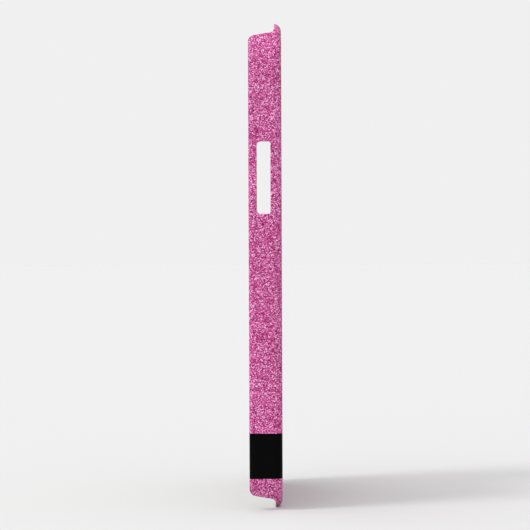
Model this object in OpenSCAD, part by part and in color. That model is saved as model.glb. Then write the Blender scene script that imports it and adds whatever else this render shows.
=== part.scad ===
// Push-fit hard case for a slim phone: one moulded shell under a thin decorative
// skin, which is laid in three areas: glitter, a plain black band, and glitter.
// The case stands on its bottom end, with +Z towards the phone's top, +X out of
// the case's back, and -Y on the side that has the single key slot.
// All lengths are in millimetres and all angles in degrees.

/* [Phone] */
// Length of the phone that the case holds
phone_length = 146.7; // [120:0.1:176]
// Width of the phone
phone_width = 71.5; // [59:0.1:86]
// Thickness of the phone
phone_thickness = 7.8; // [6.5:0.1:11]
// Radius of the phone's corners, seen from its back
phone_corner = 10.4; // [8.5:0.1:13]

/* [Fit] */
// Gap between the phone and the shell on every side
fit_gap = 0.1; // [0.05:0.05:0.3]
// How far the front lip reaches over the phone's face
lip_overhang = 0.6; // [0.4:0.05:1.2]
// Thickness of the lip in front of the phone's face
lip_thickness = 0.95; // [0.7:0.05:1.5]

/* [Walls] */
// Side wall, with its skin
side_wall = 1.5; // [1.2:0.05:2.2]
// Back wall, with its skin
back_wall = 1.3; // [1:0.05:1.8]
// Rounding of the edge all round the back
back_round = 2.35; // [2:0.05:2.85]
// Rounding of the edge all round the front
front_round = 1.5; // [0.8:0.05:1.8]
// Fillet between the back wall and the side walls, inside
inner_fillet = 1.2; // [0.5:0.05:1.5]
// Rounding of the lip's inner edge
lip_round = 0.3; // [0.1:0.05:0.4]

/* [Skin] */
// Thickness of the decorative skin
skin = 0.2; // [0.1:0.05:0.4]
// Height of the black band
band_height = 13.9; // [5:0.1:40]
// Height of the band's lower edge above the case's bottom end
band_rise = 9.8; // [7:0.1:30]

/* [Key slots] */
// Width of the single key's slot
key_slot_width = 4.15; // [3.2:0.05:5]
// Length of the single key's slot
key_slot_length = 22; // [14:0.5:30]
// Distance from the phone's top to the upper end of the single key's slot
key_slot_drop = 35.4; // [28:0.1:45]
// Width of the slot for the volume keys and the ring switch
volume_slot_width = 4.9; // [3.2:0.05:5]
// Length of the slot for the volume keys and the ring switch
volume_slot_length = 36; // [20:0.5:45]
// Distance from the phone's top to the upper end of the volume slot
volume_slot_drop = 25.5; // [22:0.1:35]
// How far both slots sit in front of the middle of the phone's thickness
slot_forward = 0.25; // [0:0.05:0.4]
// Corner radius of a slot on its front side
slot_front_corner = 1.15; // [0.6:0.05:1.5]
// Corner radius of a slot on its back side
slot_back_corner = 0.55; // [0.4:0.05:1.5]
// Rounding of a slot's outer edge
slot_edge = 0.3; // [0.1:0.05:0.35]

/* [Camera opening] */
// Width of the camera opening
camera_width = 31; // [24:0.5:38]
// Height of the camera opening
camera_height = 32; // [24:0.5:40]
// Corner radius of the camera opening
camera_corner = 8; // [4:0.5:10]
// Distance of the camera opening from the phone's side and top edges
camera_inset = 4.1; // [3.5:0.1:8]
// Rounding of the camera opening's outer edge
camera_edge = 0.5; // [0.2:0.05:0.6]

/* [End openings] */
// Height of the low rim that is left across each end, measured from the back
rim_height = 2.15; // [1.9:0.05:2.4]
// Rounding of the rim's crest
crest_round = 0.45; // [0.2:0.05:0.5]
// Distance from the rim's crest down to the corner wraps, beside the rim
wrap_drop = 3.05; // [2.6:0.05:3.5]
// Slope of the corner wraps' ends, falling towards the front
wrap_slope = 11; // [8:0.5:16]
// Fillet between the rim and the corner wraps' ends
notch_fillet = 1.5; // [0.3:0.1:2]
// Rounding of the corner wraps where their ends meet the front
wrap_round = 2.3; // [1:0.1:2.6]

/* [Hidden] */
$fn = 72;

pocket_width = phone_width + 2 * fit_gap;
pocket_length = phone_length + 2 * fit_gap;
pocket_corner = phone_corner + fit_gap;
case_width = pocket_width + 2 * side_wall;
case_length = pocket_length + 2 * side_wall;
case_corner = pocket_corner + side_wall;
lip_under = back_wall + phone_thickness + fit_gap;
case_thickness = lip_under + lip_thickness;

// Fillet under the lip, and how far every cut runs past the solid it opens
lip_fillet = 0.4;
past = 2;
// Draws a blending arc a little towards its corner, so that it crosses the two
// lines a few degrees off tangent
blend = 0.98;

// The case stands on the crest of its bottom rim, which the rounding at the back
// and the rounding of the crest leave a little short of the full length
crest_height = rim_height - crest_round;
crest_loss = back_round - sqrt(pow(back_round, 2) - pow(back_round - crest_height, 2));
standing_end = case_length / 2 - crest_loss;

slot_height = back_wall + (phone_thickness + fit_gap) / 2 + slot_forward;
phone_top = phone_length / 2;
band_foot = band_rise - standing_end;
band_top = band_foot + band_height;

glitter_pink = "#c4659f";
band_black = "#0c0b0c";
shell_white = "#f1efec";

// ---- Shapes that the parts share. They lie flat on the case's back: X across
// ---- the width, Y along the length, Z from the back (0) to the front.

// Stands the flat case up on its bottom end
module stand_up() {
    translate([case_thickness / 2, 0, standing_end]) rotate([90, 0, -90]) children();
}

// Sweeps a rim profile round a rectangle with equal round corners, and fills the
// middle. The profile's X is measured from the corners' axes, and it must be
// solid from low to high at X = 0.
module swept_slab(size, corner, low, high) {
    inner = [size[0] - 2 * corner, size[1] - 2 * corner];
    translate([-inner[0] / 2, -inner[1] / 2, low]) cube([inner[0], inner[1], high - low]);
    for (side = [0:3]) {
        run = inner[1 - side % 2];
        reach = inner[side % 2] / 2;
        rotate([0, 0, 90 * side]) translate([reach, 0, 0]) {
            rotate([90, 0, 0]) linear_extrude(height = run, center = true) children();
            translate([0, run / 2, 0]) rotate_extrude(angle = 90) children();
        }
    }
}

// Half of a slab's section, with its low and high outer edges rounded
module round_edge_profile(reach, low, high, low_round, high_round) {
    translate([0, low]) square([reach - low_round, low_round]);
    translate([0, low + low_round]) square([reach, high - low - low_round - high_round]);
    translate([0, high - high_round]) square([reach - high_round, high_round]);
    translate([reach - low_round, low + low_round]) circle(low_round);
    translate([reach - high_round, high - high_round]) circle(high_round);
}

// What a cut takes off to round an edge: the opening is on the side of -X, and
// the outer face is at Y = 0. The arc meets both faces a few degrees off tangent.
module edge_round_profile(radius) {
    centre = 1.1 * radius;
    difference() {
        translate([-radius / 2, -radius]) square([1.5 * radius, radius + past]);
        translate([centre, -centre]) circle(norm([0.1 * radius, centre]));
    }
}

// Rectangle with one corner radius on its +X side and another on its -X side
module two_radius_outline(size, corners) {
    half = size / 2;
    a = corners[0];
    b = corners[1];
    polygon([
        [half[0], -half[1] + a], [half[0], half[1] - a], [half[0] - a, half[1]], [-half[0] + b, half[1]],
        [-half[0], half[1] - b], [-half[0], -half[1] + b], [-half[0] + b, -half[1]], [half[0] - a, -half[1]]
    ]);
    for (end = [-1, 1]) {
        translate([half[0] - a, end * (half[1] - a)]) circle(a);
        translate([-half[0] + b, end * (half[1] - b)]) circle(b);
    }
}

// Cut for an opening through a wall: its mouth is at Z = 0 and faces +Z, and the
// mouth's edge is rounded all the way round
module opening(size, corners, depth, edge) {
    translate([0, 0, -depth]) linear_extrude(height = depth + past) two_radius_outline(size, corners);
    for (side = [0:3]) {
        along = side % 2 == 0 ? 1 : 0;
        radius_here = side == 0 || side == 3 ? corners[0] : corners[1];
        radius_next = side < 2 && side % 2 == 0 ? corners[0] : side == 3 ? corners[0] : corners[1];
        reach = size[1 - along] / 2;
        from = -size[along] / 2 + radius_here;
        to = size[along] / 2 - radius_next;
        rotate([0, 0, 90 * side]) {
            translate([reach, to, 0]) rotate([90, 0, 0]) linear_extrude(height = to - from)
                edge_round_profile(edge);
            translate([reach - radius_next, to, 0]) rotate_extrude(angle = 90)
                translate([radius_next, 0]) edge_round_profile(edge);
        }
    }
}

// ---- Cuts

module phone_pocket() {
    swept_slab([pocket_width, pocket_length], pocket_corner, back_wall, case_thickness + past) {
        round_edge_profile(pocket_corner, back_wall, lip_under, inner_fillet, lip_fillet);
        translate([0, lip_under - lip_fillet])
            square([pocket_corner - lip_overhang, case_thickness + past - lip_under + lip_fillet]);
        translate([pocket_corner - lip_overhang, case_thickness]) edge_round_profile(lip_round);
    }
}

// A slot through the +X side wall, with its long sides along Y
module key_slot(width, length, drop) {
    translate([case_width / 2, phone_top - drop - length / 2, slot_height])
        rotate([0, 90, 0]) rotate([0, 0, 180])
            opening([width, length], [slot_front_corner, slot_back_corner], side_wall + past, slot_edge);
}

module camera_opening() {
    translate([
        phone_width / 2 - camera_inset - camera_width / 2,
        phone_top - camera_inset - camera_height / 2,
        0
    ])
        rotate([180, 0, 0])
            opening([camera_width, camera_height], [camera_corner, camera_corner], back_wall + past, camera_edge);
}

// Section of the opening across an end: X is the height above the back, and Y is
// 0 at the rim's crest and negative into the case
module end_opening_profile() {
    front_drop = wrap_drop + (case_thickness - rim_height) * tan(wrap_slope);
    down_slope = [cos(wrap_slope), -sin(wrap_slope)];
    half_angle = (90 + wrap_slope) / 2;
    notch = [rim_height, -wrap_drop];
    notch_run = notch_fillet / tan(half_angle);
    notch_line = 45 - wrap_slope / 2;
    front = [case_thickness, -front_drop];
    front_run = wrap_round / tan(half_angle);
    front_line = 225 - wrap_slope / 2;
    front_start = front - front_run * down_slope;
    front_end = front - [0, front_run];
    outside = case_thickness + past;
    difference() {
        translate([crest_height, -crest_round]) square([2 * crest_round, crest_round + past]);
        translate([crest_height, -crest_round]) circle(crest_round);
    }
    polygon([
        [rim_height, past], notch + [0, notch_run], notch + notch_run * down_slope, front_start,
        [outside, front_start[1]], [outside, past]
    ]);
    translate(notch + blend * notch_fillet / sin(half_angle) * [cos(notch_line), sin(notch_line)])
        circle(notch_fillet);
    difference() {
        polygon([
            front_start, front_end, [outside, front_end[1]],
            [outside, front_start[1] + 1], front_start + [0, 1]
        ]);
        translate(front + blend * wrap_round / sin(half_angle) * [cos(front_line), sin(front_line)])
            circle(wrap_round);
    }
}

module end_openings() {
    for (end = [0, 1]) mirror([0, end, 0]) translate([0, standing_end, 0]) rotate([0, -90, 0])
        linear_extrude(height = case_width + 2 * past, center = true) end_opening_profile();
}

module all_cuts() {
    phone_pocket();
    key_slot(key_slot_width, key_slot_length, key_slot_drop);
    mirror([1, 0, 0]) key_slot(volume_slot_width, volume_slot_length, volume_slot_drop);
    camera_opening();
    end_openings();
}

// ---- Bodies

// The case as a block, with every outer face set in by the same amount
module case_block(inset) {
    swept_slab(
        [case_width - 2 * inset, case_length - 2 * inset], case_corner - inset,
        inset, case_thickness - inset
    )
        round_edge_profile(
            case_corner - inset, inset, case_thickness - inset,
            back_round - inset, front_round - inset
        );
}

// The part of the skin between two heights along the case's length
module skin_area(from, to) {
    difference() {
        intersection() {
            case_block(0);
            translate([-case_width / 2 - past, from, -past])
                cube([case_width + 2 * past, to - from, case_thickness + 2 * past]);
        }
        case_block(skin);
        all_cuts();
    }
}

// ---- Sub-parts

module shell() {
    color(shell_white) stand_up() difference() {
        case_block(skin);
        all_cuts();
    }
}

module upper_glitter_skin() {
    color(glitter_pink) stand_up() skin_area(band_top, case_length / 2 + past);
}

module black_band() {
    color(band_black) stand_up() skin_area(band_foot, band_top);
}

module lower_glitter_skin() {
    color(glitter_pink) stand_up() skin_area(-case_length / 2 - past, band_foot);
}

shell();
upper_glitter_skin();
black_band();
lower_glitter_skin();
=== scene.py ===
"""Push-fit phone case with a glitter film and a plain black band, on a plain studio floor.

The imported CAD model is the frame, and its nodes are the pieces that show. Each operator below
finishes one piece or two like pieces, and one more sets out the floor, the light and the
camera. All lengths are in metres, apart from the lens's own, which Blender takes in
millimetres.
"""

import math

import bmesh
import bpy
from bpy.props import FloatProperty, FloatVectorProperty, PointerProperty
from mathutils import Matrix, Vector


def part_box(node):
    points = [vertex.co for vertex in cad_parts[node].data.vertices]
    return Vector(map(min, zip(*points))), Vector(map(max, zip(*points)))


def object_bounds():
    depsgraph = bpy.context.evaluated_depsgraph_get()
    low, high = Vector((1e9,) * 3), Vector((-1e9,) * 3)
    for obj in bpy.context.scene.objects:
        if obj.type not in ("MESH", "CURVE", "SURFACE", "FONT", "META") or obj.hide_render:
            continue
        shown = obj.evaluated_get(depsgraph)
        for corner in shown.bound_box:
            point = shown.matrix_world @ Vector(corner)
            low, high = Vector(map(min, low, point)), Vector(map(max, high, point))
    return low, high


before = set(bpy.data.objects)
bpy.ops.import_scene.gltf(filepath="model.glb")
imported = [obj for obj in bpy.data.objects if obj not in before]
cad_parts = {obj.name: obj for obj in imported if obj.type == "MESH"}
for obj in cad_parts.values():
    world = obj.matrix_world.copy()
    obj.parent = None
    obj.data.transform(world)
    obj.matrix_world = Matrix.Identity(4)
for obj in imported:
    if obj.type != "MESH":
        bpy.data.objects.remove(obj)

bl_info = {
    "name": "Glitter Phone Case",
    "version": (1, 0, 0),
    "blender": (4, 5, 0),
    "location": "3D View > Sidebar > Phone Case",
    "description": "Finishes the pieces of a push-fit glitter phone case and lights them",
    "category": "Object",
}

MM = 0.001
CAD_LOW, CAD_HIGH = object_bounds()

# The case's back wall without its film, and how far from its inner face still counts as on it.
BACK_WALL = 1.1 * MM
FACE_MARGIN = 0.15 * MM

# Where the mould's ejector pins stood, how deep they sank in, and half the slope at a mark's edge.
PIN_ASIDE = 24 * MM
PIN_SPACING = 36 * MM
FIRST_PIN = 20 * MM
PIN_DEPTH = 0.05 * MM
PIN_EDGE = 0.15 * MM

# Distance over which the tone of the glitter film and of the moulding drifts.
FILM_DRIFT = 12 * MM
SHELL_DRIFT = 18 * MM

# The studio's floor, the width of the camera's sensor in millimetres, and how far the camera
# stands along X from the middle of the case.
FLOOR_RADIUS = 6.0
SENSOR_WIDTH = 36.0
CAMERA_ASIDE = -0.1 * MM


# ---------------------------------------------------------------- colour and nodes


def linear(hex_colour):
    """An sRGB hex colour as the linear numbers that Blender's colour sockets hold."""
    channels = []
    for start in (0, 2, 4):
        value = int(hex_colour[start : start + 2], 16) / 255
        low = value <= 0.04045
        channels.append(value / 12.92 if low else ((value + 0.055) / 1.055) ** 2.4)
    return (*channels, 1.0)


def add_node(tree, kind, inputs=None, **settings):
    """Adds a node, gives it its settings, and fills or links its inputs."""
    node = tree.nodes.new(kind)
    for name, value in settings.items():
        setattr(node, name, value)
    for socket, value in (inputs or {}).items():
        if isinstance(value, bpy.types.NodeSocket):
            tree.links.new(value, node.inputs[socket])
        else:
            node.inputs[socket].default_value = value
    return node


def blank_material(name):
    """A material with no nodes, ready for one finish."""
    material = bpy.data.materials.new(name)
    material.use_nodes = True
    material.node_tree.nodes.clear()
    return material


def drift(tree, noise, low, high):
    """Turns a noise, which lies mostly between 0.3 and 0.7, into values from low to high."""
    spread = add_node(
        tree,
        "ShaderNodeMapRange",
        {
            "Value": noise.outputs["Fac"],
            "From Min": 0.3,
            "From Max": 0.7,
            "To Min": low,
            "To Max": high,
        },
    )
    return spread.outputs["Result"]


def set_ramp(node, stops):
    """Fills a colour ramp with (position, colour) stops."""
    elements = node.color_ramp.elements
    while len(elements) > 1:
        elements.remove(elements[-1])
    elements[0].position, elements[0].color = stops[0]
    for position, colour in stops[1:]:
        elements.new(position).color = colour


# ---------------------------------------------------------------- settings


class GlitterFilmSettings(bpy.types.PropertyGroup):
    """Sizes and colours of the pink glitter film."""

    flake_size: FloatProperty(
        name="Flake Size",
        description="Mean distance between the centres of neighbouring glitter flakes",
        default=0.25 * MM,
        min=0.1 * MM,
        max=2 * MM,
        precision=5,
        unit="LENGTH",
    )
    flake_tilt: FloatProperty(
        name="Flake Tilt",
        description="How far the flakes lean out of the film's plane",
        default=0.55,
        min=0,
        max=1.5,
        subtype="FACTOR",
    )
    # Painted light in the flake colours: deepest and shade are painted shade on flakes under
    # others, bright is pale pink with painted highlight, glint is a painted glint; body and light
    # are the flakes' own pinks.
    painted_shade_deepest: FloatVectorProperty(
        name="Deepest",
        description="Colour of the darkest flakes, which lie under the others",
        default=linear("720A41"),
        size=4,
        subtype="COLOR",
    )
    shade: FloatVectorProperty(
        name="Shade",
        description="Colour of the flakes that others partly cover",
        default=linear("9E2C6D"),
        size=4,
        subtype="COLOR",
    )
    body: FloatVectorProperty(
        name="Body",
        description="Colour of most flakes",
        default=linear("CA4C95"),
        size=4,
        subtype="COLOR",
    )
    light: FloatVectorProperty(
        name="Light",
        description="Colour of the flakes that lie on top",
        default=linear("E97EBC"),
        size=4,
        subtype="COLOR",
    )
    # Pale pink flakes with a painted highlight in their colour.
    bright: FloatVectorProperty(
        name="Bright",
        description="Colour of the palest flakes",
        default=linear("FFB4E4"),
        size=4,
        subtype="COLOR",
    )
    # Painted glint: a fixed near-white colour for the few flakes that flash.
    painted_glint: FloatVectorProperty(
        name="Glint",
        description="Colour of the few flakes that flash",
        default=linear("FFE6F8"),
        size=4,
        subtype="COLOR",
    )


class BlackBandSettings(bpy.types.PropertyGroup):
    """Colour and finish of the plain black band."""

    colour: FloatVectorProperty(
        name="Black",
        description="Colour of the black film",
        default=linear("060506"),
        size=4,
        subtype="COLOR",
    )
    ripple_size: FloatProperty(
        name="Ripple Size",
        description="Distance between the crests of the film's faint waviness",
        default=2.5 * MM,
        min=0.5 * MM,
        max=10 * MM,
        precision=5,
        unit="LENGTH",
    )


class MouldedShellSettings(bpy.types.PropertyGroup):
    """Colour and finish of the moulded shell."""

    colour: FloatVectorProperty(
        name="Shell Colour",
        description="Colour of the moulded polycarbonate",
        default=linear("D6D3CE"),
        size=4,
        subtype="COLOR",
    )
    grain_size: FloatProperty(
        name="Grain Size",
        description="Distance between the dimples that the mould's spark-eroded face leaves",
        default=0.35 * MM,
        min=0.05 * MM,
        max=2 * MM,
        precision=5,
        unit="LENGTH",
    )
    pin_mark: FloatProperty(
        name="Pin Mark",
        description="Diameter of the marks that the mould's ejector pins leave inside the back",
        default=5 * MM,
        min=1 * MM,
        max=10 * MM,
        precision=5,
        unit="LENGTH",
    )


class StudioSettings(bpy.types.PropertyGroup):
    """Floor, light and camera."""

    floor_colour: FloatVectorProperty(
        name="Floor",
        description="Colour of the studio floor",
        default=linear("CBCBCB"),
        size=4,
        subtype="COLOR",
    )
    backdrop: FloatVectorProperty(
        name="Backdrop",
        description="Colour of the empty studio behind the floor",
        default=linear("F0F0F0"),
        size=4,
        subtype="COLOR",
    )
    key_strength: FloatProperty(
        name="Key Light",
        description="Strength of the large soft light at the left",
        default=1.1,
        min=0,
        max=10,
    )
    key_spread: FloatProperty(
        name="Key Spread",
        description="How wide the key light looks from the case",
        default=math.radians(15),
        min=0,
        max=math.pi,
        subtype="ANGLE",
    )
    key_rise: FloatProperty(
        name="Key Rise",
        description="Height of the key light above the floor",
        default=math.radians(50),
        min=0,
        max=math.pi / 2,
        subtype="ANGLE",
    )
    key_swing: FloatProperty(
        name="Key Swing",
        description="Turn of the key light from the left towards the camera",
        default=math.radians(22),
        min=-math.pi,
        max=math.pi,
        subtype="ANGLE",
    )
    ceiling: FloatProperty(
        name="Ceiling",
        description="Brightness of the studio's ceiling",
        default=1.55,
        min=0,
        max=10,
    )
    left_wall: FloatProperty(
        name="Left Wall",
        description="Brightness of the wall at the left, in front of the case's open side",
        default=0.6,
        min=0,
        max=10,
    )
    right_wall: FloatProperty(
        name="Right Wall",
        description="Brightness of the wall at the right, behind the case's back",
        default=0.05,
        min=0,
        max=10,
    )
    near_wall: FloatProperty(
        name="Near Wall",
        description="How many times brighter the wall behind the camera is than the others",
        default=2.6,
        min=0,
        max=10,
    )
    camera_distance: FloatProperty(
        name="Camera Distance",
        description="From the near side of the case to the camera",
        default=0.6,
        min=0.2,
        max=5,
        unit="LENGTH",
    )
    camera_height: FloatProperty(
        name="Camera Height",
        description="Height of the camera above the floor",
        default=82.8 * MM,
        min=0,
        max=2,
        precision=4,
        unit="LENGTH",
    )
    camera_tilt: FloatProperty(
        name="Camera Tilt",
        description="How far the camera looks down",
        default=math.radians(0.73),
        min=-math.pi / 2,
        max=math.pi / 2,
        subtype="ANGLE",
    )
    camera_roll: FloatProperty(
        name="Camera Roll",
        description="How far the camera leans to one side",
        default=math.radians(-0.22),
        min=-math.pi,
        max=math.pi,
        subtype="ANGLE",
    )
    focal_length: FloatProperty(
        name="Focal Length",
        description="Focal length of the lens, in millimetres",
        default=133.7,
        min=10,
        max=500,
        unit="CAMERA",
    )


class PhoneCaseSettings(bpy.types.PropertyGroup):
    """All settings of the phone case and its studio."""

    glitter: PointerProperty(type=GlitterFilmSettings, name="Glitter Film")
    band: PointerProperty(type=BlackBandSettings, name="Black Band")
    shell: PointerProperty(type=MouldedShellSettings, name="Moulded Shell")
    studio: PointerProperty(type=StudioSettings, name="Studio")


# ---------------------------------------------------------------- materials


def glitter_polyester_film(settings):
    """Polyester glitter film, laminated: small flakes at all angles under a clear skin.

    Each flake is one flat patch with its own tint and lean, so the eye sees a sharp grain of
    dark magenta and pale pink, and a few flakes flash. The darkest tints are painted shade on
    flakes that lie under others, and the palest tints are painted glints on the flakes that
    flash; the lean adds real shading on top. Glitter films have flakes from about 0.1 mm
    wide, which is too fine to show on the whole case, so they are drawn coarser.
    """
    material = blank_material("Polyester glitter film, laminated")
    tree = material.node_tree
    place = add_node(tree, "ShaderNodeTexCoord").outputs["Object"]
    flakes = add_node(
        tree,
        "ShaderNodeTexVoronoi",
        {"Vector": place, "Scale": 1 / settings.flake_size, "Randomness": 1.0},
        feature="F1",
    )
    chance = add_node(tree, "ShaderNodeSeparateColor", {"Color": flakes.outputs["Color"]})
    tint = add_node(tree, "ShaderNodeValToRGB", {"Fac": chance.outputs["Red"]})
    # The ramp runs from painted shade on covered flakes, through the flakes' own pinks, to painted
    # glints.
    set_ramp(
        tint,
        [
            (0.0, settings.painted_shade_deepest),
            (0.3, settings.shade),
            (0.55, settings.body),
            (0.8, settings.light),
            (0.9, settings.bright),
            (1.0, settings.painted_glint),
        ],
    )
    # The film's own slow change of tone.
    patches = add_node(
        tree,
        "ShaderNodeTexNoise",
        {"Vector": place, "Scale": 1 / FILM_DRIFT, "Detail": 2.0, "Roughness": 0.5},
    )
    tone = drift(tree, patches, 0.94, 1.06)
    colour = add_node(
        tree,
        "ShaderNodeVectorMath",
        {0: tint.outputs["Color"], "Scale": tone},
        operation="SCALE",
    )
    # Each flake's lean: its random colour, centred on zero, is added to the film's normal.
    lean = add_node(
        tree,
        "ShaderNodeVectorMath",
        {0: flakes.outputs["Color"], 1: (0.5, 0.5, 0.5)},
        operation="SUBTRACT",
    )
    surface = add_node(tree, "ShaderNodeNewGeometry").outputs["Normal"]
    leaning = add_node(
        tree,
        "ShaderNodeVectorMath",
        {0: lean.outputs["Vector"], 1: (settings.flake_tilt,) * 3, 2: surface},
        operation="MULTIPLY_ADD",
    )
    facing = add_node(
        tree,
        "ShaderNodeVectorMath",
        {0: leaning.outputs["Vector"]},
        operation="NORMALIZE",
    )
    shine = add_node(
        tree,
        "ShaderNodeMapRange",
        {"Value": chance.outputs["Green"], "To Min": 0.28, "To Max": 0.55},
    )
    shader = add_node(
        tree,
        "ShaderNodeBsdfPrincipled",
        {
            "Base Color": colour.outputs["Vector"],
            "Roughness": shine.outputs["Result"],
            "IOR": 1.64,
            "Specular IOR Level": 0.08,
            "Normal": facing.outputs["Vector"],
        },
    )
    add_node(tree, "ShaderNodeOutputMaterial", {"Surface": shader.outputs["BSDF"]})
    return material


def black_vinyl_film(settings):
    """Vinyl film, calendered: an even, deep black with a soft, low gloss.

    The film lies a little wavy on the moulding, and its tone and gloss drift with the waves.
    """
    material = blank_material("Black vinyl film, calendered")
    tree = material.node_tree
    place = add_node(tree, "ShaderNodeTexCoord").outputs["Object"]
    waves = add_node(
        tree,
        "ShaderNodeTexNoise",
        {"Vector": place, "Scale": 1 / settings.ripple_size, "Detail": 3.0},
    )
    ripple = add_node(
        tree,
        "ShaderNodeBump",
        {"Height": waves.outputs["Fac"], "Strength": 0.2, "Distance": 0.02 * MM},
    )
    tone = drift(tree, waves, 0.85, 1.15)
    colour = add_node(
        tree,
        "ShaderNodeVectorMath",
        {0: tuple(settings.colour)[:3], "Scale": tone},
        operation="SCALE",
    )
    gloss = drift(tree, waves, 0.3, 0.4)
    shader = add_node(
        tree,
        "ShaderNodeBsdfPrincipled",
        {
            "Base Color": colour.outputs["Vector"],
            "Roughness": gloss,
            "IOR": 1.53,
            "Specular IOR Level": 0.03,
            "Normal": ripple.outputs["Normal"],
        },
    )
    add_node(tree, "ShaderNodeOutputMaterial", {"Surface": shader.outputs["BSDF"]})
    return material


def moulded_polycarbonate(settings):
    """Polycarbonate, injection moulded in a spark-eroded mould: off-white with a satin grain.

    Its grain breaks up the gloss, its tone drifts a little along the flow, and the inside of
    the back shows the round marks of the pins that pushed it out of the mould.
    """
    material = blank_material("Polycarbonate, injection moulded satin")
    tree = material.node_tree
    place = add_node(tree, "ShaderNodeTexCoord").outputs["Object"]
    dimples = add_node(
        tree,
        "ShaderNodeTexVoronoi",
        {"Vector": place, "Scale": 1 / settings.grain_size, "Smoothness": 0.6},
        feature="SMOOTH_F1",
    )
    flow = add_node(
        tree,
        "ShaderNodeTexNoise",
        {"Vector": place, "Scale": 1 / SHELL_DRIFT, "Detail": 3.0, "Distortion": 0.6},
    )
    # Pin marks: sunk discs in two columns along the inside of the back.
    along = add_node(tree, "ShaderNodeSeparateXYZ", {"Vector": place})
    aside = add_node(tree, "ShaderNodeMath", {0: along.outputs["Y"]}, operation="ABSOLUTE")
    across = add_node(
        tree,
        "ShaderNodeMath",
        {0: aside.outputs["Value"], 1: PIN_ASIDE},
        operation="SUBTRACT",
    )
    above = add_node(
        tree,
        "ShaderNodeMath",
        {0: along.outputs["Z"], 1: FIRST_PIN},
        operation="SUBTRACT",
    )
    beside = add_node(
        tree,
        "ShaderNodeMath",
        {0: above.outputs["Value"], 1: PIN_SPACING / 2},
        operation="PINGPONG",
    )
    offset = add_node(
        tree,
        "ShaderNodeCombineXYZ",
        {"X": across.outputs["Value"], "Y": beside.outputs["Value"]},
    )
    reach = add_node(
        tree,
        "ShaderNodeVectorMath",
        {0: offset.outputs["Vector"]},
        operation="LENGTH",
    )
    disc = add_node(
        tree,
        "ShaderNodeMapRange",
        {
            "Value": reach.outputs["Value"],
            "From Min": settings.pin_mark / 2 - PIN_EDGE,
            "From Max": settings.pin_mark / 2 + PIN_EDGE,
            "To Min": -PIN_DEPTH,
            "To Max": 0.0,
        },
        interpolation_type="SMOOTHSTEP",
    )
    inner_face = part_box("shell")[1].x - BACK_WALL
    inside = add_node(
        tree,
        "ShaderNodeMath",
        {0: along.outputs["X"], 1: inner_face, 2: FACE_MARGIN},
        operation="COMPARE",
    )
    marks = add_node(
        tree,
        "ShaderNodeMath",
        {0: disc.outputs["Result"], 1: inside.outputs["Value"]},
        operation="MULTIPLY",
    )
    pressed = add_node(
        tree,
        "ShaderNodeBump",
        {"Height": marks.outputs["Value"], "Strength": 1.0, "Distance": 1.0},
    )
    grain = add_node(
        tree,
        "ShaderNodeBump",
        {
            "Height": dimples.outputs["Distance"],
            "Strength": 0.35,
            "Distance": 0.03 * MM,
            "Normal": pressed.outputs["Normal"],
        },
    )
    tone = drift(tree, flow, 0.94, 1.0)
    colour = add_node(
        tree,
        "ShaderNodeVectorMath",
        {0: tuple(settings.colour)[:3], "Scale": tone},
        operation="SCALE",
    )
    gloss = drift(tree, flow, 0.42, 0.5)
    shader = add_node(
        tree,
        "ShaderNodeBsdfPrincipled",
        {
            "Base Color": colour.outputs["Vector"],
            "Roughness": gloss,
            "IOR": 1.585,
            "Specular IOR Level": 0.4,
            "Normal": grain.outputs["Normal"],
        },
    )
    add_node(tree, "ShaderNodeOutputMaterial", {"Surface": shader.outputs["BSDF"]})
    return material


# ---------------------------------------------------------------- pieces


def finish_node(name, material):
    """Gives a CAD node its finish in every slot of its mesh."""
    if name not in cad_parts:
        raise RuntimeError(f"The CAD model has no node named {name}")
    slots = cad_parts[name].data.materials
    for index in range(len(slots)):
        slots[index] = material


class PHONECASE_OT_moulded_shell(bpy.types.Operator):
    """Finish the moulded polycarbonate shell"""

    bl_idname = "phone_case.moulded_shell"
    bl_label = "Moulded Shell"

    def execute(self, context):
        settings = context.scene.phone_case.shell
        finish_node("shell", moulded_polycarbonate(settings))
        return {"FINISHED"}


class PHONECASE_OT_glitter_film(bpy.types.Operator):
    """Finish the two areas of pink glitter film, above and below the band"""

    bl_idname = "phone_case.glitter_film"
    bl_label = "Glitter Film"

    def execute(self, context):
        settings = context.scene.phone_case.glitter
        material = glitter_polyester_film(settings)
        for name in ("upper_glitter_skin", "lower_glitter_skin"):
            finish_node(name, material)
        return {"FINISHED"}


class PHONECASE_OT_black_band(bpy.types.Operator):
    """Finish the plain black band between the two areas of glitter film"""

    bl_idname = "phone_case.black_band"
    bl_label = "Black Band"

    def execute(self, context):
        settings = context.scene.phone_case.band
        finish_node("black_band", black_vinyl_film(settings))
        return {"FINISHED"}


# ---------------------------------------------------------------- studio


def studio_floor(settings):
    """A wide, plain, matt floor at the case's foot."""
    material = blank_material("Seamless paper, matt")
    tree = material.node_tree
    shader = add_node(
        tree,
        "ShaderNodeBsdfPrincipled",
        {
            "Base Color": tuple(settings.floor_colour),
            "Roughness": 1.0,
            "Specular IOR Level": 0.0,
        },
    )
    add_node(tree, "ShaderNodeOutputMaterial", {"Surface": shader.outputs["BSDF"]})
    disc = bmesh.new()
    bmesh.ops.create_circle(disc, cap_ends=True, segments=96, radius=FLOOR_RADIUS)
    mesh = bpy.data.meshes.new("studio_floor")
    disc.to_mesh(mesh)
    disc.free()
    mesh.materials.append(material)
    floor = bpy.data.objects.new("studio_floor", mesh)
    floor.location.z = CAD_LOW.z
    bpy.context.scene.collection.objects.link(floor)


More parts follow.
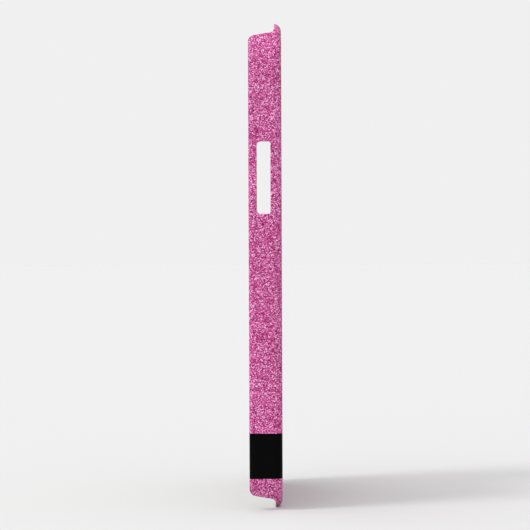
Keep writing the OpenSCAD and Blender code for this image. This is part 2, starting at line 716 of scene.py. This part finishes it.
def studio_surround(settings):
    """Soft light from the ceiling and the walls: brightest overhead, dimmest at the right."""
    world = bpy.data.worlds.new("Studio surround")
    bpy.context.scene.world = world
    world.use_nodes = True
    tree = world.node_tree
    tree.nodes.clear()
    way = add_node(tree, "ShaderNodeTexCoord").outputs["Generated"]
    along = add_node(tree, "ShaderNodeSeparateXYZ", {"Vector": way})
    overhead = add_node(
        tree,
        "ShaderNodeMapRange",
        {"Value": along.outputs["Z"], "From Min": 0.2, "From Max": 0.9},
        interpolation_type="SMOOTHSTEP",
    )
    walls = add_node(
        tree,
        "ShaderNodeMapRange",
        {
            "Value": along.outputs["X"],
            "From Min": -1.0,
            "From Max": 1.0,
            "To Min": settings.left_wall,
            "To Max": settings.right_wall,
        },
    )
    near = add_node(
        tree,
        "ShaderNodeMapRange",
        {
            "Value": along.outputs["Y"],
            "From Min": -0.9,
            "From Max": -0.2,
            "To Min": settings.near_wall,
            "To Max": 1.0,
        },
        interpolation_type="SMOOTHSTEP",
    )
    round_about = add_node(
        tree,
        "ShaderNodeMath",
        {0: walls.outputs["Result"], 1: near.outputs["Result"]},
        operation="MULTIPLY",
    )
    level = add_node(
        tree,
        "ShaderNodeMix",
        {
            "Factor": overhead.outputs["Result"],
            "A": round_about.outputs["Value"],
            "B": settings.ceiling,
        },
    )
    lit = add_node(
        tree,
        "ShaderNodeBackground",
        {"Color": (1.0, 1.0, 1.0, 1.0), "Strength": level.outputs["Result"]},
    )
    # The camera sees a plain backdrop in place of the walls.
    plain = add_node(tree, "ShaderNodeBackground", {"Color": tuple(settings.backdrop)})
    seen = add_node(tree, "ShaderNodeLightPath").outputs["Is Camera Ray"]
    both = add_node(
        tree,
        "ShaderNodeMixShader",
        {"Fac": seen, 1: lit.outputs["Background"], 2: plain.outputs["Background"]},
    )
    add_node(tree, "ShaderNodeOutputWorld", {"Surface": both.outputs["Shader"]})


def studio_key_light(settings):
    """One large soft light, up at the left and a little to the front."""
    lamp = bpy.data.lights.new("key_light", "SUN")
    lamp.energy = settings.key_strength
    lamp.angle = settings.key_spread
    light = bpy.data.objects.new("key_light", lamp)
    rise, swing = settings.key_rise, settings.key_swing
    towards = Vector(
        (
            -math.cos(rise) * math.cos(swing),
            -math.cos(rise) * math.sin(swing),
            math.sin(rise),
        )
    )
    light.rotation_mode = "QUATERNION"
    light.rotation_quaternion = towards.to_track_quat("Z", "Y")
    light.location = towards
    bpy.context.scene.collection.objects.link(light)


def studio_camera(settings):
    """A long lens, square to the side that has the single key slot."""
    lens = bpy.data.cameras.new("studio_camera")
    lens.lens = settings.focal_length
    lens.sensor_width = SENSOR_WIDTH
    camera = bpy.data.objects.new("studio_camera", lens)
    near_side = CAD_LOW.y - settings.camera_distance
    camera.location = (CAMERA_ASIDE, near_side, CAD_LOW.z + settings.camera_height)
    tilt = Matrix.Rotation(math.pi / 2 - settings.camera_tilt, 4, "X")
    roll = Matrix.Rotation(settings.camera_roll, 4, "Z")
    camera.rotation_mode = "QUATERNION"
    camera.rotation_quaternion = (tilt @ roll).to_quaternion()
    bpy.context.scene.collection.objects.link(camera)
    bpy.context.scene.camera = camera


class PHONECASE_OT_studio(bpy.types.Operator):
    """Set out the floor, the light and the camera"""

    bl_idname = "phone_case.studio"
    bl_label = "Studio"

    def execute(self, context):
        settings = context.scene.phone_case.studio
        studio_floor(settings)
        studio_surround(settings)
        studio_key_light(settings)
        studio_camera(settings)
        context.scene.view_settings.view_transform = "Standard"
        return {"FINISHED"}


# ---------------------------------------------------------------- panel

STEPS = (
    (PHONECASE_OT_moulded_shell, "shell"),
    (PHONECASE_OT_glitter_film, "glitter"),
    (PHONECASE_OT_black_band, "band"),
    (PHONECASE_OT_studio, "studio"),
)


class PHONECASE_PT_sidebar(bpy.types.Panel):
    """Steps of the phone case, each with its settings"""

    bl_label = "Phone Case"
    bl_idname = "PHONECASE_PT_sidebar"
    bl_space_type = "VIEW_3D"
    bl_region_type = "UI"
    bl_category = "Phone Case"

    def draw(self, context):
        settings = context.scene.phone_case
        for step, group in STEPS:
            box = self.layout.box()
            box.operator(step.bl_idname)
            part = getattr(settings, group)
            for name in part.__annotations__:
                box.prop(part, name)


CLASSES = (
    GlitterFilmSettings,
    BlackBandSettings,
    MouldedShellSettings,
    StudioSettings,
    PhoneCaseSettings,
    *(step for step, group in STEPS),
    PHONECASE_PT_sidebar,
)


def register():
    """Makes the settings, the operators and the panel known to Blender."""
    for kind in CLASSES:
        bpy.utils.register_class(kind)
    bpy.types.Scene.phone_case = PointerProperty(type=PhoneCaseSettings)


def unregister():
    """Takes them away again."""
    del bpy.types.Scene.phone_case
    for kind in reversed(CLASSES):
        bpy.utils.unregister_class(kind)


def main():
    """Registers the add-on, finishes every piece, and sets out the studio."""
    register()
    bpy.ops.phone_case.moulded_shell()
    bpy.ops.phone_case.glitter_film()
    bpy.ops.phone_case.black_band()
    bpy.ops.phone_case.studio()


if __name__ == "__main__":
    main()
